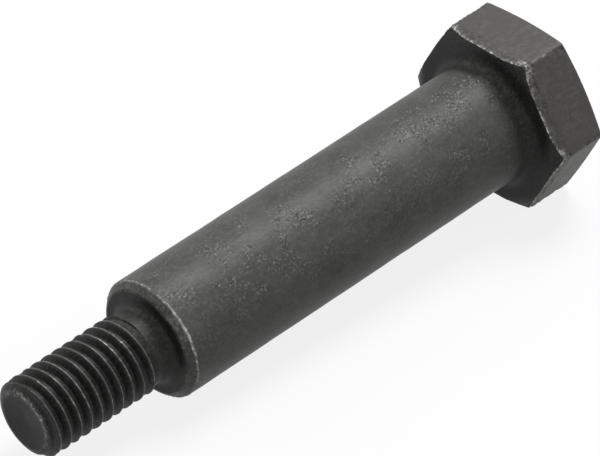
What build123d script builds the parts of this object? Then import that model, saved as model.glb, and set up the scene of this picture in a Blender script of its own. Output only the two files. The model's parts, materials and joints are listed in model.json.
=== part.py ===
from build123d import *
import math
import os

# Shoulder bolt: a forged hexagon head, a plain turned shoulder that a lever or
# link pivots on, and a short thread rolled on a thinner neck. It is one piece.
# It is modelled standing on its axis, with the bearing face at height 0 and the
# thread upwards, and is then laid down the way it comes to rest on a table.

# ---- driving dimensions, in millimetres and degrees ----

shoulder_diameter = 12.0
shoulder_length = 43.4          # bearing face to the shoulder's end face
shoulder_chamfer = 0.7          # 45 degree chamfer on the shoulder's end
under_head_radius = 1.2         # hollow fillet between bearing face and shoulder

across_flats = 16.7
head_height = 6.3
bearing_circle = 17.0           # where the cut corners begin on the bearing face
bearing_cut_angle = 28.0        # slope of the cut corners on the bearing side
top_circle = 15.6               # flat circle on the top of the head
top_cut_angle = 30.0            # slope of the cut corners on the top

thread_diameter = 7.85          # M8, over the crests
thread_pitch = 1.25
thread_reach = 14.6             # shoulder's end face to the tip of the thread
thread_flank_angle = 60.0       # angle between the two flanks of the groove
thread_start_angle = 218.0      # where the groove begins, round the axis from the resting flat
tip_chamfer = 0.45
tip_rim_width = 0.7
tip_dish_depth = 0.2            # shallow hollow that thread rolling leaves in the tip

neck_diameter = 7.2             # plain blank that the thread is rolled on
neck_length = 1.85              # shoulder's end face to the foot of the first crest
neck_radius = 0.4               # hollow fillet at the foot of the neck
run_out_length = 1.6            # over which the groove sinks from the neck to full depth
run_out_angle = 45.0            # slope of the first crest's rise out of the neck

# ---- sizes that follow ----

shoulder_r = shoulder_diameter / 2
thread_r = thread_diameter / 2
neck_r = neck_diameter / 2
neck_end = shoulder_length + neck_length
tip_height = shoulder_length + thread_reach
tip_r = thread_r - tip_chamfer
dish_r = tip_r - tip_rim_width
corner_r = across_flats / 2 / math.cos(math.radians(30))
bearing_drop = (corner_r - bearing_circle / 2) * math.tan(math.radians(bearing_cut_angle))
top_drop = (corner_r - top_circle / 2) * math.tan(math.radians(top_cut_angle))

# The basic metric profile leaves a crest an eighth of a pitch wide, and the root
# of the groove is a quarter of a pitch wide.
flank_slope = math.tan(math.radians(thread_flank_angle / 2))
crest_width = thread_pitch / 8
root_width = thread_pitch / 4
groove_depth = (thread_pitch - crest_width - root_width) / 2 / flank_slope
groove_root_r = thread_r - groove_depth
groove_overshoot = crest_width / 4      # how far the groove's cutter stands out of the crests


def head():
    # A hexagonal prism inside a turned blank, which trims its twelve corners.
    with BuildPart() as hexagon:
        with BuildSketch(Plane.XY.offset(-head_height)):
            RegularPolygon(radius=across_flats / 2, side_count=6, major_radius=False, rotation=30)
        extrude(amount=head_height)
        with BuildSketch(Plane.XZ):
            with BuildLine():
                Polyline(
                    (0, 0),
                    (bearing_circle / 2, 0),
                    (corner_r, -bearing_drop),
                    (corner_r, top_drop - head_height),
                    (top_circle / 2, -head_height),
                    (0, -head_height),
                    close=True,
                )
            make_face()
        revolve(axis=Axis.Z, mode=Mode.INTERSECT)
    return hexagon.part


def shank():
    # The shoulder and the neck, turned as one profile. It starts half way down the
    # head and ends in a cone inside the thread, where the groove runs out.
    inside_head = -head_height / 2
    fillet_r = shoulder_r + under_head_radius
    with BuildPart() as turned:
        with BuildSketch(Plane.XZ):
            with BuildLine():
                Polyline((0, inside_head), (fillet_r, inside_head), (fillet_r, 0))
                RadiusArc((fillet_r, 0), (shoulder_r, under_head_radius), under_head_radius)
                Polyline(
                    (shoulder_r, under_head_radius),
                    (shoulder_r, shoulder_length - shoulder_chamfer),
                    (shoulder_r - shoulder_chamfer, shoulder_length),
                    (neck_r + neck_radius, shoulder_length),
                )
                RadiusArc(
                    (neck_r + neck_radius, shoulder_length),
                    (neck_r, shoulder_length + neck_radius),
                    neck_radius,
                )
                Polyline(
                    (neck_r, shoulder_length + neck_radius),
                    (neck_r, neck_end),
                    (groove_root_r, neck_end + run_out_length),
                    (0, neck_end + run_out_length),
                    (0, inside_head),
                )
            make_face()
        revolve(axis=Axis.Z)
    return turned.part


def groove():
    # The groove's section lies in a plane through the axis, and is swept up a helix,
    # half a turn at a time, from inside the neck to past the tip.
    depth = groove_depth + groove_overshoot
    half_width = root_width / 2 + depth * flank_slope
    lift = thread_pitch / 2
    half_turn = Helix(pitch=thread_pitch, height=lift, radius=groove_root_r)
    half_turns = math.ceil(thread_reach / lift) + 2
    path = Wire([Pos(0, 0, n * lift) * Rot(0, 0, n * 180) * half_turn for n in range(half_turns)])
    section = Polygon(
        (0, -root_width / 2),
        (depth, -half_width),
        (depth, half_width),
        (0, root_width / 2),
        align=None,
    )
    section_plane = Plane(origin=path @ 0, x_dir=(1, 0, 0), z_dir=(0, -1, 0))
    cutter = sweep(section_plane * section, path=path, is_frenet=True)
    return Pos(0, 0, shoulder_length) * Rot(0, 0, thread_start_angle) * cutter


def thread():
    # A grooved rod, trimmed to a turned envelope: it rises out of the neck in a
    # cone, and its tip has a chamfer and a shallow dish.
    rod_length = thread_reach - neck_length
    rod = Pos(0, 0, neck_end) * Cylinder(
        thread_r, rod_length, align=(Align.CENTER, Align.CENTER, Align.MIN)
    )
    rise = (thread_r - groove_root_r) / math.tan(math.radians(run_out_angle))
    with BuildPart() as envelope:
        with BuildSketch(Plane.XZ):
            with BuildLine():
                Polyline(
                    (0, neck_end),
                    (groove_root_r, neck_end),
                    (thread_r, neck_end + rise),
                    (thread_r, tip_height - tip_chamfer),
                    (tip_r, tip_height),
                    (dish_r, tip_height),
                    (0, tip_height - tip_dish_depth),
                    close=True,
                )
            make_face()
        revolve(axis=Axis.Z)
    return (rod - groove()) & envelope.part


bolt = head() + shank() + thread()

# ---- laid down at rest ----
# The bolt lies on one flat of the head and on the edge of the shoulder's end
# chamfer, so its thread end is the lower one.

rest_tilt = math.degrees(math.atan2(across_flats / 2 - shoulder_r, shoulder_length - shoulder_chamfer))
lying = Rot(0, 90 + rest_tilt, 0) * bolt
room = lying.bounding_box()
shoulder_bolt = Pos(-room.center().X, -room.center().Y, -room.min.Z) * lying
shoulder_bolt.label = "shoulder_bolt"

os.makedirs("parts", exist_ok=True)
export_step(shoulder_bolt, "parts/shoulder_bolt.step")
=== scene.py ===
import math

import bpy
import numpy as np
from mathutils import Matrix, Vector, noise
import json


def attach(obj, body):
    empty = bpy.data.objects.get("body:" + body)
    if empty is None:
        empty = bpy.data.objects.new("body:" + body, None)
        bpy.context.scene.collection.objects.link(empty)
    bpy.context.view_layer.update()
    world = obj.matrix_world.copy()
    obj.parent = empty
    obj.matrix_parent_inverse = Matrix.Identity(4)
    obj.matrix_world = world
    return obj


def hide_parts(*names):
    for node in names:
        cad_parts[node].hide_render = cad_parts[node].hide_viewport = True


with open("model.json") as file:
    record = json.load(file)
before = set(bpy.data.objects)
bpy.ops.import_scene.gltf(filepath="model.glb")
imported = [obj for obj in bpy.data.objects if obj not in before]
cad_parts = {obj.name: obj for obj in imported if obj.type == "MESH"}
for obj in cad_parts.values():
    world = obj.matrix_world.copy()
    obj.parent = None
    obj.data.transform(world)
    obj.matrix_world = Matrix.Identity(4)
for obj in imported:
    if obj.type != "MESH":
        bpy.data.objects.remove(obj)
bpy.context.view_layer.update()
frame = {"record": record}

mm = 0.001

mounts = {mount["name"]: mount for mount in frame["record"]["mounts"]}
axisWay = Vector(mounts["bearing_face"]["axis"])
bearingPlace = Vector(mounts["bearing_face"]["pos_m"])
restTilt = math.atan2(-axisWay.z, axisWay.x)
# the bolt is made with X up its axis from the bearing face and Z through its upper flat,
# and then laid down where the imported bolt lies
layDown = Matrix.Translation((bearingPlace.x, 0, bearingPlace.z)) @ Matrix.Rotation(restTilt, 4, "Y")


# a node's output as a number: a sum written with it adds Math nodes
class Value:
    def __init__(self, graph, socket):
        self.graph = graph
        self.socket = socket

    def maths(self, operation, *values):
        node = self.graph.nodes.new("ShaderNodeMath")
        node.operation = operation
        for number, value in enumerate(values):
            plug(self.graph, node.inputs[number], value)
        return Value(self.graph, node.outputs[0])

    def __add__(self, other):
        return self.maths("ADD", self, other)

    def __radd__(self, other):
        return self.maths("ADD", other, self)

    def __sub__(self, other):
        return self.maths("SUBTRACT", self, other)

    def __rsub__(self, other):
        return self.maths("SUBTRACT", other, self)

    def __mul__(self, other):
        return self.maths("MULTIPLY", self, other)

    def __rmul__(self, other):
        return self.maths("MULTIPLY", other, self)

    def __truediv__(self, other):
        return self.maths("DIVIDE", self, other)

    def __pow__(self, other):
        return self.maths("POWER", self, other)

    def __gt__(self, other):
        return self.maths("GREATER_THAN", self, other)

    def __abs__(self):
        return self.maths("ABSOLUTE", self)

    def rounded(self):
        return self.maths("FLOOR", self + 0.5)

    def cosine(self):
        return self.maths("COSINE", self)

    def sine(self):
        return self.maths("SINE", self)

    def least(self, other):
        return self.maths("MINIMUM", self, other)

    def most(self, other):
        return self.maths("MAXIMUM", self, other)

    def limit(self):
        return self.least(1.0).most(0.0)

    def ramp(self, low, high):        # 0 at low, 1 at high, straight between
        return ((self - low) / (high - low)).limit()

    def lifted(self, floor):        # 0 becomes floor, and 1 stays 1
        return floor + (1 - floor) * self


def plug(graph, socket, value):
    if isinstance(value, Value):
        graph.links.new(value.socket, socket)
    else:
        socket.default_value = value


# makes every other node; a socket is named with _ for a blank, or numbered, as in _6
class Tree:
    def __init__(self, graph):
        graph.nodes.clear()
        self.graph = graph

    def add(self, kind, settings=None, output=0, **sockets):
        node = self.graph.nodes.new(kind)
        for name, value in (settings or {}).items():
            setattr(node, name, value)
        for name, value in sockets.items():
            key = int(name[1:]) if name[0] == "_" else name.replace("_", " ")
            plug(self.graph, node.inputs[key], value)
        return Value(self.graph, node.outputs[output]) if node.outputs else None

    def blend(self, low, high, share):
        low, high = [colour if isinstance(colour, Value) else (*colour, 1.0) for colour in (low, high)]
        return self.add("ShaderNodeMix", {"data_type": "RGBA"}, 2, _0=share, _6=low, _7=high)


bolt = {        # millimetres; cuts, turns, flankAngle, threadStart and sharpFrom in degrees
    # a noise is (patches per millimetre, seed)
    "acrossFlats": 16.7, "headHeight": 6.3, "cornerSharpness": 130,
    "topCircle": 12.9, "topCut": 13.1, "leastTopCut": 0.05, "topRound": 0.4,
    "bearingCircle": 17.0, "bearingCut": 28.0, "leastBearingCut": 0.1, "bearingRound": 0.48,
    "edgeRound": 0.16, "lowEdgeRound": 0.128,
    "underHead": 1.2, "shoulderChamfer": 0.7, "chamferRound": 0.14, "endRound": 0.16,
    "neckRadius": 3.6, "neckFillet": 0.95, "neckLength": 1.85,
    "threadRadius": 3.925, "pitch": 1.25, "reach": 14.6, "threadStart": 128.0, "flankAngle": 60,
    "crestShare": 1 / 8, "rootShare": 1 / 4, "flankRound": 0.35,        # shares of the pitch and of the flank
    "runOut": 1.6, "runOutSlope": 1.8,
    "tipChamfer": 0.45, "tipRim": 0.7, "tipDish": 0.2, "tipRound": 0.22, "tipRoundReach": 0.5,
    "columnsPerFlat": 32, "crowding": 0.75, "sharpFrom": 38, "weld": 0.0004,

    # the flats are a little uneven, with a rough sheared band by the bearing face
    "flatSink": 0.006, "flatWave": 0.02, "flatNoise": (0.25, 1),
    "bandStart": 0.1, "bandWidth": 1.3, "bandFade": 0.3, "bandRagged": 0.4, "raggedNoise": (0.55, 3),
    "bandSink": 0.03, "bandDents": 0.14, "bandNoise": (1.9, 2),
    # dents along the corners, and nicks by the corners and the bearing face
    "cornerWidth": 0.22, "cornerDents": 0.16, "cornerNoise": (1.3, 5),
    "nickLeast": 0.35, "nickDepth": 0.35, "nickWidth": 0.5, "nickNoise": (0.9, 8),
    # how bright the head's edges are rubbed, from 0 to 1, and how far from the edge
    "cornerShine": 0.4, "cornerShineInBand": 0.5, "cornerShineWidth": 0.12,
    "crumbShine": 0.92, "crumbWidth": 1.1, "lowEdgeShine": 1.0,
    "bearingShine": 0.75, "bearingShineWidth": 0.22, "topEdgeShine": 0.35,

    # the shoulder, the rough rim of its end, and the edge between its chamfer and its end face
    "shoulderSink": 0.012, "shoulderWave": 0.02, "shoulderNoise": (0.35, 6),
    "rimSink": 0.03, "rimDents": 0.09, "rimNoise": (1.6, 9), "rimBand": 0.75,
    "endDents": 0.16, "endNoise": (1.4, 9), "endShine": 0.3,
    # the rim is rubbed all round, and a painted highlight makes it brighter on one side
    "rimShine": 0.7, "rimShineMore": 0.9, "rimTurn": 40, "rimNarrowness": 10,
    "chamferShine": 0.36, "rimShineWidth": 0.03, "rimShineWider": 0.09,

    # nicks in the thread's crests
    "crestNickLeast": 0.52, "crestNickDepth": 0.35, "crestNickScale": 1.3, "crestNickCircle": 4, "seed": 4,
    # the tip's rim, as a share of its radius, is rubbed all round, with a painted highlight on one side;
    # a trace of that rubbing and painted highlight is left all over the bolt
    "tipRimAt": 0.86, "tipRimWidth": 0.17, "tipShine": 0.38, "tipShineMore": 0.62, "tipTurn": 58,
    # inside the rim, the middle of the tip's face gets painted shade
    "tipBand": 0.6, "tipDarkInside": 0.8, "tipDarkness": 0.6,

    # how much painted shade each face gets, and how the painted shade under the head fades along the shoulder
    "darkness": {"top": 0.1, "bearing": 0.92, "bearingCut": 0.85, "edge bearing": 0.85, "edge shoulder": 1.0,
                 "end": 0.97, "edge end": 0.97, "edge neck": 0.97, "neck": 0.66},
    "darkReach": 1.0, "darkFade": 0.9, "darkPower": 1.5,
}
shoulderRadius = mounts["shoulder"]["dims"]["r_mm"]
shoulderLength = mounts["shoulder"]["dims"]["length_mm"] + bolt["underHead"] + bolt["shoulderChamfer"]
neckEnd = shoulderLength + bolt["neckLength"]
tipEnd = shoulderLength + bolt["reach"]
sector = math.radians(60)
flatKinds = ("topCut", "edge topCut", "flat", "edge flat", "edge bearingCut")


def columnAngles():
    # closer together at the hexagon's corners, which stand at 0, 60, 120 ... degrees
    steps = np.arange(6 * bolt["columnsPerFlat"] + 1) / bolt["columnsPerFlat"]
    return sector * (steps - bolt["crowding"] * np.sin(2 * np.pi * steps) / (2 * np.pi))


def hexRadius(angles):
    # a hexagon with softened corners, as a distance from the axis
    total = np.zeros_like(angles)
    for flat in range(6):
        facing = np.cos(angles - sector * (flat + 0.5))
        total += np.clip(facing, 0, None) ** bolt["cornerSharpness"]
    return bolt["acrossFlats"] / 2 / total ** (1 / bolt["cornerSharpness"])


def turnedRows(corners):
    # corners: (height, radius, rounding, rows on the stretch that follows, name of that stretch)
    tiny = 1e-9
    bend = math.sqrt(0.5)        # weight of an arc's middle point
    points = [np.stack(np.broadcast_arrays(corner[0], corner[1]), -1).astype(float) for corner in corners]
    width = max(point.shape[0] if point.ndim > 1 else 1 for point in points)
    points = [np.broadcast_to(point, (width, 2)) for point in points]
    rows, names = [], []
    for number in range(len(corners) - 1):
        here, there = points[number], points[number + 1]
        rounding, nextRounding = corners[number][2], corners[number + 1][2]
        span = np.linalg.norm(there - here, axis=1, keepdims=True) + tiny
        start = here + (there - here) * np.minimum(rounding, span * 0.5) / span
        end = there + (here - there) * np.minimum(nextRounding, span * 0.5) / span
        for step in np.linspace(0, 1, corners[number][3] + 1):
            rows.append(start + (end - start) * step)
            names.append(corners[number][4])
        if nextRounding > 0 and number + 2 < len(corners):
            after = points[number + 2]
            nextSpan = np.linalg.norm(after - there, axis=1, keepdims=True) + tiny
            onward = there + (after - there) * np.minimum(nextRounding, nextSpan * 0.5) / nextSpan
            for t in (0.2, 0.4, 0.6, 0.8):
                weights = (1 - t) ** 2, 2 * t * (1 - t) * bend, t ** 2
                rows.append((weights[0] * end + weights[1] * there + weights[2] * onward) / sum(weights))
                names.append("edge " + corners[number + 1][4])
    return np.array(rows), names


def bodyRows(angles):
    # head, shoulder and neck as one turned outline, with the hexagon in it
    hexagon = hexRadius(angles)
    topRadius = np.minimum(bolt["topCircle"] / 2, hexagon - bolt["leastTopCut"])
    bearingRadius = np.minimum(bolt["bearingCircle"] / 2, hexagon - bolt["leastBearingCut"])
    topDrop = (hexagon - topRadius) * math.tan(math.radians(bolt["topCut"]))
    bearingDrop = (hexagon - bearingRadius) * math.tan(math.radians(bolt["bearingCut"]))
    head = -bolt["headHeight"]
    chamfer = bolt["shoulderChamfer"]
    nearHead, nearEnd = 3.0, 1.0        # stretches of the shoulder where the rows are closer
    return turnedRows([
        (head, 0.0, 0.0, 8, "top"),
        (head, topRadius, bolt["topRound"], 7, "topCut"),
        (head + topDrop, hexagon, bolt["edgeRound"], 40, "flat"),
        (-bearingDrop, hexagon, bolt["lowEdgeRound"], 4, "bearingCut"),
        (0.0, bearingRadius, bolt["bearingRound"], 10, "bearing"),
        (0.0, shoulderRadius, bolt["underHead"], 9, "shoulder"),
        (nearHead, shoulderRadius, 0.0, 78, "shoulder"),
        (shoulderLength - chamfer - nearEnd, shoulderRadius, 0.0, 9, "shoulder"),
        (shoulderLength - chamfer, shoulderRadius, bolt["chamferRound"], 5, "chamfer"),
        (shoulderLength, shoulderRadius - chamfer, bolt["endRound"], 9, "end"),
        (shoulderLength, bolt["neckRadius"], bolt["neckFillet"], 7, "neck"),
        (neckEnd, bolt["neckRadius"], 0.0, 0, "neck"),
    ])


def crestPhase():
    # the crest's height over the neck's end at the column of angle 0, in pitches
    grooveHeight = shoulderLength - bolt["pitch"] * bolt["threadStart"] / 360
    return ((grooveHeight - neckEnd) / bolt["pitch"] + 0.5) % 1


def threadLaps():
    # places along one pitch, from crest to crest, thick where the profile turns
    half = [0.0, 0.04, 0.075, 0.11, 0.17, 0.24, 0.31, 0.36, 0.42, 0.5]
    pitchPlaces = half + [1 - place for place in half[-2:0:-1]]
    last = (tipEnd - neckEnd) / bolt["pitch"]
    start = crestPhase()
    spare = 0.05
    laps = [turn + start + place for turn in range(-2, math.ceil(last) + 2) for place in pitchPlaces]
    return np.array([lap for lap in laps if -1 - spare < lap < last + spare])


def buildGrid():
    # one grid wound round the axis: turned rows, then the thread's laps, then the rings of the tip's face
    angles = columnAngles()
    columns = len(angles)
    rows, names = bodyRows(angles)
    laps = threadLaps()
    rings = [0.985, 0.96, 0.93, 0.9, 0.86, 0.82, 0.78, 0.72, 0.6, 0.4, 0.2, 0.0]
    ringLap = 99.0        # past the tip, where the height stops
    neckRow = np.tile((neckEnd, bolt["neckRadius"]), (columns, 1))
    rows = np.concatenate([rows, np.tile(neckRow, (len(laps) + len(rings), 1, 1))])
    lap = np.concatenate([np.zeros(len(names)), laps, np.full(len(rings), ringLap)])
    cap = np.concatenate([np.ones(len(names) + len(laps)), rings])
    kind = names + ["thread"] * (len(laps) + len(rings))
    places = [(height, radius * math.cos(turn), radius * math.sin(turn))
              for row in rows for (height, radius), turn in zip(row, angles)]
    faces = [(corner, corner + 1, corner + columns + 1, corner + columns)
             for row in range(len(rows) - 1) for corner in range(row * columns, (row + 1) * columns - 1)]
    lap, cap, kind = [np.repeat(rowValues, columns) for rowValues in (lap, cap, kind)]
    return angles, np.array(places), faces, lap, cap, kind


def roughness(place, scaleAndSeed):
    scale, seed = scaleAndSeed
    fading, step, layers = 0.6, 2.1, 3
    return noise.fractal(Vector(place) * scale + Vector((seed, 0, 0)), fading, step, layers)


def near(distance, width):
    # 1 on the spot, fading with the distance
    return math.exp(-(distance / width) ** 2)


def bearingDropAt(turn):
    # how far the bearing side is cut back at this angle
    hexagon = float(hexRadius(np.array([turn]))[0])
    return max(0.0, hexagon - bolt["bearingCircle"] / 2) * math.tan(math.radians(bolt["bearingCut"]))


def wornFlat(place, turn, name):
    # how deep a place on the head's side is worn, how bright it is, and how far it is in the sheared band
    radius = math.hypot(place[1], place[2])
    cornerGap = abs((turn + sector / 2) % sector - sector / 2) * radius
    fromBearing = -place[0] - bolt["bandStart"]
    bandEnd = bolt["bandWidth"] + bolt["bandRagged"] * roughness(place, bolt["raggedNoise"])
    inBand = min(max((bandEnd - fromBearing) / bolt["bandFade"], 0), 1)
    depth = bolt["flatSink"] + bolt["flatWave"] * roughness(place, bolt["flatNoise"])
    depth += inBand * (bolt["bandSink"] + bolt["bandDents"] * roughness(place, bolt["bandNoise"]))
    cornerDent = max(0.0, bolt["cornerDents"] * roughness(place, bolt["cornerNoise"]))
    depth += near(cornerGap, bolt["cornerWidth"]) * cornerDent
    nick = max(0.0, roughness(place, bolt["nickNoise"]) - bolt["nickLeast"])
    nearEdge = near(cornerGap, bolt["nickWidth"]) + near(fromBearing, bolt["nickWidth"])
    depth += nick * bolt["nickDepth"] * nearEdge

    cornerShine = bolt["cornerShine"] + bolt["cornerShineInBand"] * inBand
    shine = near(cornerGap, bolt["cornerShineWidth"]) * cornerShine
    shine = max(shine, inBand * bolt["crumbShine"] * near(cornerGap, bolt["crumbWidth"]))
    if name == "edge bearingCut":
        shine = bolt["lowEdgeShine"]
    elif name == "flat":
        fromEdge = fromBearing - bearingDropAt(turn)
        shine = max(shine, bolt["bearingShine"] * near(fromEdge, bolt["bearingShineWidth"]))
    elif name == "edge flat":
        shine = max(shine, bolt["topEdgeShine"])
    return depth, shine, inBand


# rubbed all round, plus a painted highlight on one side
def rimShine(turn):
    facing = max(0.0, math.cos(turn - math.radians(bolt["rimTurn"])))
    return bolt["rimShine"] + bolt["rimShineMore"] * facing ** bolt["rimNarrowness"]


def weather(places, kind, angles):
    # wears each place in towards the axis, and returns what the finish has to know there
    wear, band, flats, dark = np.zeros((4, len(places)))
    for number, name in enumerate(kind):
        place = places[number].copy()
        turn = angles[number % len(angles)]
        # painted shade for each face
        dark[number] = bolt["darkness"].get(name, 0.0)
        depth = 0.0
        if name in flatKinds:
            depth, wear[number], band[number] = wornFlat(place, turn, name)
            flats[number] = 1.0
        elif name == "edge end":
            depth = bolt["endDents"] * roughness(place, bolt["endNoise"])
            wear[number] = bolt["endShine"]
        elif name in ("chamfer", "edge chamfer"):
            depth = bolt["rimSink"] + bolt["rimDents"] * roughness(place, bolt["rimNoise"])
            wear[number] = rimShine(turn) * (bolt["chamferShine"] if name == "chamfer" else 1.0)
            band[number] = bolt["rimBand"] if name == "chamfer" else 0.0
        elif name == "shoulder":
            depth = bolt["shoulderSink"] + bolt["shoulderWave"] * roughness(place, bolt["shoulderNoise"])
            fromRim = shoulderLength - bolt["shoulderChamfer"] - place[0]
            # the rubbed line by the rim is wider and brighter where the painted highlight is
            shineWidth = bolt["rimShineWidth"] + bolt["rimShineWider"] * rimShine(turn)
            wear[number] = near(fromRim, shineWidth) * rimShine(turn)
            # painted shade under the head, fading along the shoulder
            shaded = 1.0 - (place[0] - bolt["darkReach"]) / bolt["darkFade"]
            dark[number] = min(max(shaded, 0.0), 1.0) ** bolt["darkPower"]
        if depth > 0:
            outward = place * np.array([0, 1, 1]) / math.hypot(place[1], place[2])
            places[number] = place - outward * depth
    return wear, band, flats, dark


def floatAttribute(mesh, name, values):
    attribute = mesh.attributes.new(name, "FLOAT", "POINT")
    attribute.data.foreach_set("value", np.asarray(values, dtype=np.float32))


def threadSizes():
    grooveShare = (1 - bolt["crestShare"] - bolt["rootShare"]) / 2
    grooveDepth = bolt["pitch"] * grooveShare / math.tan(math.radians(bolt["flankAngle"] / 2))
    return {
        "Pitch": bolt["pitch"], "Crest Radius": bolt["threadRadius"], "Crest Phase": crestPhase(),
        "Root Radius": bolt["threadRadius"] - grooveDepth,
        "Neck Radius": bolt["neckRadius"], "Neck End": neckEnd,
        "Run Out": bolt["runOut"], "Run Out Slope": bolt["runOutSlope"],
        "Tip End": tipEnd, "Tip Chamfer": bolt["tipChamfer"],
        "Tip Round": bolt["tipRound"], "Tip Round Reach": bolt["tipRoundReach"],
        "Dish Depth": bolt["tipDish"],
        "Dish Radius": bolt["threadRadius"] - bolt["tipChamfer"] - bolt["tipRim"],
        "Nick Least": bolt["crestNickLeast"], "Nick Depth": bolt["crestNickDepth"],
        "Nick Scale": bolt["crestNickScale"], "Nick Circle": bolt["crestNickCircle"], "Weld": bolt["weld"],
    }


def threadTree(sizeNames):
    # lays the thread's rows on the helix; its inputs are the sizes, in millimetres
    group = bpy.data.node_groups.new("rollThread", "GeometryNodeTree")
    sockets = [("Bolt", "INPUT", "Geometry"), *[(name, "INPUT", "Float") for name in sizeNames],
               ("Seed", "INPUT", "Int"), ("Finish", "INPUT", "Material"), ("Bolt", "OUTPUT", "Geometry")]
    for name, way, kind in sockets:
        group.interface.new_socket(name, in_out=way, socket_type="NodeSocket" + kind)
    tree = Tree(group)
    given = tree.add("NodeGroupInput").socket.node.outputs
    size = {socket.name: Value(group, socket) for socket in given if socket.name}

    def attribute(name):
        return tree.add("GeometryNodeInputNamedAttribute", {"data_type": "FLOAT"}, Name=name)

    around, turn, lap = attribute("around"), attribute("turn"), attribute("lap")
    cap, onThread = attribute("cap"), attribute("onThread")
    onSide = cap > 0.999        # on the thread itself, not on the tip's face
    onFace = 1 - onSide

    # the basic profile with a slightly rounded flank, by how far a place is from its crest in pitches
    height = (size["Neck End"] + size["Pitch"] * (lap + around)).most(size["Neck End"]).least(size["Tip End"])
    pastNeck = height - size["Neck End"]
    climbed = pastNeck / size["Pitch"] - around - size["Crest Phase"]
    fromCrest = abs(climbed - climbed.rounded())
    halfCrest, halfRoot, rounding = bolt["crestShare"] / 2, bolt["rootShare"] / 2, bolt["flankRound"]
    flank = ((fromCrest - halfCrest) / (1 / 2 - halfCrest - halfRoot)).limit()
    eased = flank * flank * (3 - 2 * flank) * rounding + flank * (1 - rounding)

    # the nicks follow a noise that is wound round the axis, so they agree at the seam
    seedStep = 7.3
    nickPlace = tree.add("ShaderNodeCombineXYZ", None, 0,
                         X=height * size["Nick Scale"] + size["Seed"] * seedStep,
                         Y=turn.cosine() * size["Nick Circle"], Z=turn.sine() * size["Nick Circle"])
    nickNoise = tree.add("ShaderNodeTexNoise", {"noise_dimensions": "3D"}, 0,
                         Vector=nickPlace, Scale=1.0, Detail=2.0)
    nick = (nickNoise - size["Nick Least"]).most(0.0) * size["Nick Depth"] * (1 - flank)

    # the first crest rises out of the neck, the groove sinks in, and the tip is chamfered
    threaded = size["Crest Radius"] - (size["Crest Radius"] - size["Root Radius"]) * eased - nick
    rising = size["Neck Radius"] + pastNeck * size["Run Out Slope"]
    filling = size["Neck Radius"] - pastNeck / size["Run Out"] * (size["Neck Radius"] - size["Root Radius"])
    tipRadius = size["Crest Radius"] - size["Tip Chamfer"]
    radius = threaded.least(rising).most(filling).least(tipRadius + (size["Tip End"] - height)) * cap

    # the tip's face is hollow, and its rim is rolled over
    dished = (size["Dish Radius"] - radius).most(0.0) / size["Dish Radius"] * size["Dish Depth"]
    rolled = ((radius - size["Dish Radius"]) / (tipRadius - size["Dish Radius"])).limit()
    nearTip = 1 - ((size["Tip End"] - height) / size["Tip Round Reach"]).limit()
    sunk = (dished + rolled * rolled * size["Tip Round"]) * onFace + size["Tip Round"] * onSide * nearTip

    placed = tree.add("ShaderNodeCombineXYZ", None, 0,
                      X=height - sunk, Y=radius * turn.cosine(), Z=radius * turn.sine())
    moved = tree.add("GeometryNodeSetPosition", None, 0, Geometry=size["Bolt"],
                     Selection=onThread > 0.5, Position=placed)
    stored = tree.add("GeometryNodeStoreNamedAttribute", {"data_type": "FLOAT", "domain": "POINT"}, 0,
                      Geometry=moved, Name="crest", Value=(1 - fromCrest * 2) * onThread * onSide)
    merged = tree.add("GeometryNodeMergeByDistance", None, 0, Geometry=stored, Distance=size["Weld"])
    real = tree.add("GeometryNodeRealizeInstances", None, 0, Geometry=merged)
    finished = tree.add("GeometryNodeSetMaterial", None, 0, Geometry=real, Material=size["Finish"])
    tree.add("NodeGroupOutput", None, 0, _0=finished)
    return group


def buildBolt(finish):
    angles, places, faces, lap, cap, kind = buildGrid()
    wear, band, flats, dark = weather(places, kind, angles)
    mesh = bpy.data.meshes.new("boltGrid")
    mesh.from_pydata(places.tolist(), [], faces)
    turns = np.tile(angles, len(kind) // len(angles))
    tipRim = np.clip(1 - np.abs(cap - bolt["tipRimAt"]) / bolt["tipRimWidth"], 0, 1)
    # rubbed all round, with a painted highlight on one side
    tipShine = bolt["tipShine"] + bolt["tipShineMore"] * np.cos(turns - math.radians(bolt["tipTurn"]))
    # painted shade in the middle of the tip's face
    tipShade = np.where(cap < bolt["tipDarkInside"], bolt["tipDarkness"], 0.0)
    marks = {
        "around": turns / (2 * np.pi), "turn": turns, "lap": lap, "cap": cap, "onThread": kind == "thread",
        "wear": np.maximum(wear, tipRim * tipShine), "band": np.maximum(band, tipRim * bolt["tipBand"]),
        "flats": flats, "dark": np.maximum(dark, tipShade),
    }
    for name, values in marks.items():
        floatAttribute(mesh, name, values)
    blank = bpy.data.objects.new("boltGrid", mesh)
    bpy.context.collection.objects.link(blank)

    sizes = threadSizes()
    modifier = blank.modifiers.new("rollThread", "NODES")
    modifier.node_group = threadTree(sizes)
    sizes.update({"Seed": bolt["seed"], "Finish": finish})
    for socket in modifier.node_group.interface.items_tree:
        if socket.item_type == "SOCKET" and socket.in_out == "INPUT" and socket.name in sizes:
            modifier[socket.identifier] = sizes[socket.name]
    view = bpy.context.evaluated_depsgraph_get()
    shaped = bpy.data.meshes.new_from_object(blank.evaluated_get(view), depsgraph=view)
    bpy.data.objects.remove(blank)

    shaped.transform(layDown @ Matrix.Scale(mm, 4))
    shaped.name = "shoulder_bolt_shaped"
    piece = bpy.data.objects.new("shoulder_bolt_shaped", shaped)
    bpy.context.collection.objects.link(piece)
    for polygon in shaped.polygons:
        polygon.use_smooth = True
    shaped.set_sharp_from_angle(angle=math.radians(bolt["sharpFrom"]))
    return piece


def newMaterial(name):
    material = bpy.data.materials.new(name)
    material.use_nodes = True
    return material, Tree(material.node_tree)


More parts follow.
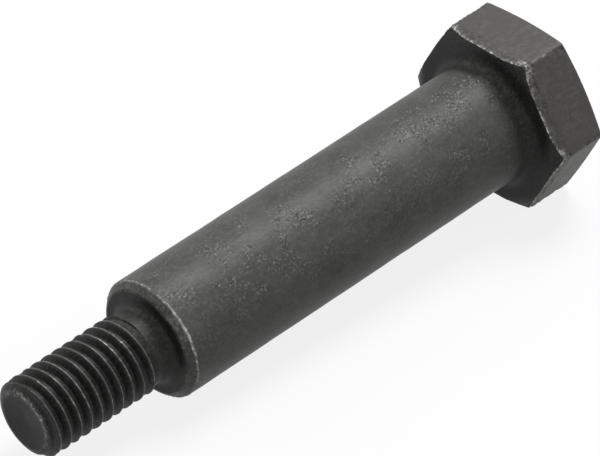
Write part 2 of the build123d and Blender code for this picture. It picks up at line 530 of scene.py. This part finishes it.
steel = {        # colours are linear; a noise is (patches per millimetre, detail, roughness)
    "deep": (0.018, 0.018, 0.017), "pale": (0.072, 0.072, 0.0685), "shade": (0.006, 0.006, 0.0057),
    "speck": (0.20, 0.20, 0.19), "pit": (0.006, 0.006, 0.006), "worn": (0.50, 0.495, 0.48),
    "warm": (0.062, 0.059, 0.054), "metallic": 0.12, "roughness": 0.5, "gloss": 0.22,
    "cloud": (0.28, 3.0, 0.55), "mottle": (1.1, 3.0, 0.6), "grain": (3.4, 3.0, 0.65), "fine": (4.6, 2.0, 0.6),
    "rubbed": (2.2, 3.0, 0.6), "alongAxis": (0.35, 1, 1), "spots": (0.4, 3.0, 0.6), "shear": (4.5, 4.0, 0.75),
    # from deep to pale: the middle tone, and how far each size of patch moves it
    "tone": 0.62, "cloudShare": 1.0, "mottleShare": 0.7, "grainShare": 0.7, "fineShare": 0.35,
    "flatShare": 0.55, "warmShare": 0.6,
    # pitted spots with pale specks, mostly on the upper, lit side as a painted glint; that side's way is
    # given across the axis and up
    "rubbedWay": (0.42, 0.91), "rubbedRamp": (0.55, 0.95), "spotsElsewhere": 0.14,
    "spotRamp": (0.46, 0.58), "spotGrain": (0.44, 0.54),
    "speckRamp": (0.555, 0.6), "speckShare": 0.85, "pitRamp": (0.39, 0.44), "pitShare": 0.95,
    # the sheared band, the painted shade on faces, and the thread with its painted shade in the groove
    "shearDark": (0.40, 0.52), "shearDarkShare": 0.75, "shearPale": (0.58, 0.70), "shearPaleShare": 0.5,
    "shadeShare": 0.85, "threadRamp": (0.3, 1.0), "threadPale": 0.45,
    "rolledRamp": (0.46, 0.58), "rolledPale": 0.25,
    # bare steel on the edges and along the crests, and the painted highlights on the shoulder's rim and the
    # tip's rim
    "brokenRamp": (0.47, 0.6), "leastBright": 0.1, "moreWhereTurned": 0.22,
    "wearPower": 1.6, "wornShare": 0.9,
    "crestRamp": (0.92, 0.97), "crestBroken": (0.5, 0.62), "crestLeast": 0.22, "crestBright": 0.8,
    # what they do to the roughness, the metal and the relief
    "mottleRough": 0.2, "speckRough": 0.1, "wornSmooth": 0.15, "wornMetal": 0.35, "shadeMetal": 0.55,
    "grainHigh": 0.3, "fineHigh": 0.25, "mottleHigh": 0.4, "pitDeep": 0.9, "shearHigh": 1.3,
    "relief": 0.6, "reliefHeight": 0.00005,        # metres
}


def blackenedSteel():
    material, tree = newMaterial("blackenedSteel")
    own = tree.add("ShaderNodeTexCoord", None, 3)
    place = tree.add("ShaderNodeMapping", {"vector_type": "TEXTURE"}, 0, Vector=own,
                     Location=layDown.translation[:], Rotation=(0, restTilt, 0), Scale=(mm, mm, mm))

    def attribute(name):
        return tree.add("ShaderNodeAttribute", {"attribute_name": name}, 2)

    def fleck(name, stretch=(1, 1, 1)):
        scale, detail, rough = steel[name]
        stretched = tree.add("ShaderNodeMapping", {"vector_type": "POINT"}, 0, Vector=place, Scale=stretch)
        return tree.add("ShaderNodeTexNoise", {"noise_dimensions": "3D"}, 0, Vector=stretched,
                        Scale=scale, Detail=detail, Roughness=rough)

    wear, band, flats, dark, crest, onThread = [
        attribute(name) for name in ("wear", "band", "flats", "dark", "crest", "onThread")]
    cloud, mottle, grain, fine, spots, shear = [
        fleck(name) for name in ("cloud", "mottle", "grain", "fine", "spots", "shear")]
    rubbed = fleck("rubbed", steel["alongAxis"])
    turned = (1 - flats.limit()) * (1 - onThread.limit())        # neither a flat nor the thread

    # mottled scale, a little browner on the flats
    blotch = ((mottle - 0.5) * steel["mottleShare"] + (cloud - 0.5) * steel["cloudShare"]
              + (grain - 0.5) * steel["grainShare"] + (fine - 0.5) * steel["fineShare"])
    tone = (steel["tone"] + blotch * turned.lifted(steel["flatShare"])).limit()
    colour = tree.blend(steel["deep"], steel["pale"], tone)
    colour = tree.blend(colour, steel["warm"], flats * steel["warmShare"])

    # clusters of pale specks and dark pits, gathered on the upper side as a painted glint
    across, up = [tree.add("ShaderNodeSeparateXYZ", None, way, Vector=place) for way in (1, 2)]
    acrossShare, upShare = steel["rubbedWay"]
    # the upper side, where the specks and pits gather as a painted glint
    litSide = ((across * acrossShare + up * upShare) / shoulderRadius).ramp(*steel["rubbedRamp"])
    patch = (spots.ramp(*steel["spotRamp"]) * grain.ramp(*steel["spotGrain"])
             * litSide.lifted(steel["spotsElsewhere"])) * turned
    specks = fine.ramp(*steel["speckRamp"]) * patch
    pits = (1 - fine.ramp(*steel["pitRamp"])) * patch
    colour = tree.blend(colour, steel["speck"], specks * steel["speckShare"])
    colour = tree.blend(colour, steel["pit"], pits * steel["pitShare"])

    # the sheared band on the flats, and the shoulder's rim
    torn = (1 - shear.ramp(*steel["shearDark"])) * band
    colour = tree.blend(colour, steel["deep"], torn * steel["shearDarkShare"])
    bared = shear.ramp(*steel["shearPale"]) * band
    colour = tree.blend(colour, steel["speck"], bared * steel["shearPaleShare"])

    # smooth painted shade on the bearing face, under the head, on the shoulder's end, the neck and the middle
    # of the tip, and a little on the top
    colour = tree.blend(colour, steel["shade"], dark.limit() * steel["shadeShare"])
    # painted shade in the thread's groove, less towards the crests and in pale flecks
    rolledFleck = (grain * 0.5 + fine * 0.5).ramp(*steel["rolledRamp"]) * steel["rolledPale"]
    grooveShade = 1 - crest.ramp(*steel["threadRamp"]) * steel["threadPale"] - rolledFleck
    colour = tree.blend(colour, steel["shade"], onThread.limit() * grooveShade * steel["shadeShare"])

    # edges and crests rubbed bright in a broken line, which also carries the painted highlights on the
    # shoulder's rim and the tip's rim
    broken = (rubbed * 0.5 + grain * 0.5).ramp(*steel["brokenRamp"])
    leastBright = steel["leastBright"] + steel["moreWhereTurned"] * turned
    bright = (wear ** steel["wearPower"] * broken.lifted(leastBright)).limit()
    crestBroken = (rubbed * 0.5 + cloud * 0.5).ramp(*steel["crestBroken"])
    crestLine = (crest.ramp(*steel["crestRamp"]) * crestBroken.lifted(steel["crestLeast"])).limit()
    worn = bright.most(crestLine * steel["crestBright"])
    colour = tree.blend(colour, steel["worn"], worn * steel["wornShare"])

    rough = (steel["roughness"] + (mottle - 0.5) * steel["mottleRough"] + specks * steel["speckRough"]
             - worn * steel["wornSmooth"]).limit()
    # the painted shade also gets more metal, which darkens it further
    metal = (steel["metallic"] + worn * steel["wornMetal"] + dark.limit() * steel["shadeMetal"]).limit()
    high = (grain * steel["grainHigh"] + fine * steel["fineHigh"] + mottle * steel["mottleHigh"]
            - pits * steel["pitDeep"] + shear * band * steel["shearHigh"])
    bump = tree.add("ShaderNodeBump", None, 0,
                    Strength=steel["relief"], Distance=steel["reliefHeight"], Height=high)
    shader = tree.add("ShaderNodeBsdfPrincipled", None, 0, Base_Color=colour, Roughness=rough, Metallic=metal,
                      Normal=bump, Specular_IOR_Level=steel["gloss"])
    tree.add("ShaderNodeOutputMaterial", None, 0, Surface=shader)
    return material


stage = {        # size in metres
    "size": 3.0, "seenColour": (0.86, 0.86, 0.86), "bounceColour": (0.34, 0.34, 0.34), "whiteShare": 0.84,
    "white": (1.0, 1.0, 1.0, 1.0),
}
lights = {        # place and size in metres, power in watts
    "ambient": 0.2,
    "key": ((-0.35, -0.08, 0.66), 0.45, 5.2),
    "back": ((0.22, -0.60, 0.40), 0.5, 1.6),
    "side": ((-0.55, 0.45, 0.32), 0.4, 0.95),
}


def lookedAt(tree):
    # 1 where the camera sees something, straight or by a reflection
    straight = tree.add("ShaderNodeLightPath")
    rays = straight.socket.node.outputs
    glossy, through = [Value(tree.graph, rays[name]) for name in ("Is Glossy Ray", "Is Transmission Ray")]
    return straight.most(glossy).most(through)


def paleFloor():
    # white where the camera sees it lit, and it keeps the shadow
    material, tree = newMaterial("paleFloor")
    seen = lookedAt(tree)
    shades = tree.blend(stage["bounceColour"], stage["seenColour"], seen)
    matt = tree.add("ShaderNodeBsdfDiffuse", None, 0, Color=shades)
    white = tree.add("ShaderNodeEmission", None, 0, Color=stage["white"], Strength=1.0)
    mixed = tree.add("ShaderNodeMixShader", None, 0, _0=seen * stage["whiteShare"], _1=matt, _2=white)
    tree.add("ShaderNodeOutputMaterial", None, 0, Surface=mixed)
    half = stage["size"] / 2
    mesh = bpy.data.meshes.new("floor")
    corners = [(-half, -half, 0), (half, -half, 0), (half, half, 0), (-half, half, 0)]
    mesh.from_pydata(corners, [], [(0, 1, 2, 3)])
    mesh.materials.append(material)
    floor = bpy.data.objects.new("floor", mesh)
    bpy.context.collection.objects.link(floor)


def paleWorld():
    # soft light from all sides, and white where it is looked at
    world = bpy.data.worlds.new("paleWorld")
    bpy.context.scene.world = world
    world.use_nodes = True
    tree = Tree(world.node_tree)
    lit = tree.add("ShaderNodeBackground", None, 0, Color=stage["white"], Strength=lights["ambient"])
    white = tree.add("ShaderNodeBackground", None, 0, Color=stage["white"], Strength=1.0)
    mixed = tree.add("ShaderNodeMixShader", None, 0, _0=lookedAt(tree), _1=lit, _2=white)
    tree.add("ShaderNodeOutputWorld", None, 0, Surface=mixed)


def addLights():
    for name in ("key", "back", "side"):
        place, size, power = lights[name]
        lamp = bpy.data.lights.new(name, "AREA")
        lamp.shape = "DISK"
        lamp.size = size
        lamp.energy = power
        holder = bpy.data.objects.new(name, lamp)
        holder.location = place
        holder.rotation_euler = (-Vector(place)).to_track_quat("-Z", "Y").to_euler()
        bpy.context.collection.objects.link(holder)


camera = {        # degrees, metres and a lens in millimetres; the aim is the point in the middle of the view
    "azimuth": 136.50, "elevation": 36.62, "roll": -1.05, "lens": 336.4, "distance": 0.5099,
    "aim": (-0.0018, -0.0003, 0.0083), "farthest": 10,
}


def addCamera():
    turn, rise = math.radians(camera["azimuth"]), math.radians(camera["elevation"])
    back = Vector((math.sin(turn) * math.cos(rise), -math.cos(turn) * math.cos(rise), math.sin(rise)))
    right = Vector((0, 0, 1)).cross(back).normalized()
    up = back.cross(right)
    roll = math.radians(camera["roll"])
    rolledRight = right * math.cos(roll) + up * math.sin(roll)
    rolledUp = up * math.cos(roll) - right * math.sin(roll)
    lens = bpy.data.cameras.new("camera")
    lens.lens = camera["lens"]
    lens.clip_end = camera["farthest"]
    holder = bpy.data.objects.new("camera", lens)
    place = Vector(camera["aim"]) + back * camera["distance"]
    basis = Matrix((rolledRight, rolledUp, back)).transposed().to_4x4()
    holder.matrix_world = Matrix.Translation(place) @ basis
    bpy.context.collection.objects.link(holder)
    bpy.context.scene.camera = holder


bpy.context.scene.view_settings.view_transform = "Standard"
addCamera()
addLights()
paleWorld()
paleFloor()
print("camera, lights and floor are in")

steelFinish = blackenedSteel()
print("the blackened steel is mixed")

shoulderBolt = buildBolt(steelFinish)
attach(shoulderBolt, "root")
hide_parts("shoulder_bolt")
print("the bolt has", len(shoulderBolt.data.polygons), "faces")

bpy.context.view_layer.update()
import json
